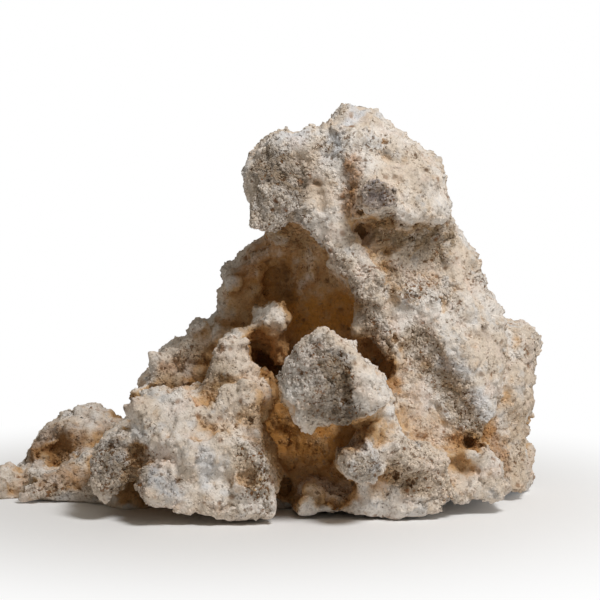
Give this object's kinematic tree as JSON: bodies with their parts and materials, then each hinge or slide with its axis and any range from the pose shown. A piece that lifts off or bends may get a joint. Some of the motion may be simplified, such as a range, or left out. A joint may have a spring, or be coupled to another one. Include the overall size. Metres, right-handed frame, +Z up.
{
  "type": "reef base rock",
  "caption": "Porous reef limestone rock with an overhanging head, an open cave below it, a jutting fist and low knobbly shoulders, resting on its flat underside.",
  "frame": {"origin": "in the middle of the flat underside that the rock rests on", "axes": "+Z up, +X along the rock's length towards the side with the ledge, -Y towards the front with the cave and the fist"},
  "size_m": [0.2979, 0.1929, 0.1981],
  "materials": {
    "reef_limestone": "dry, chalky and pitted"
  },
  "bodies": {
    "root": {"reef_base_rock": "reef_limestone"}
  },
  "joints": []
}
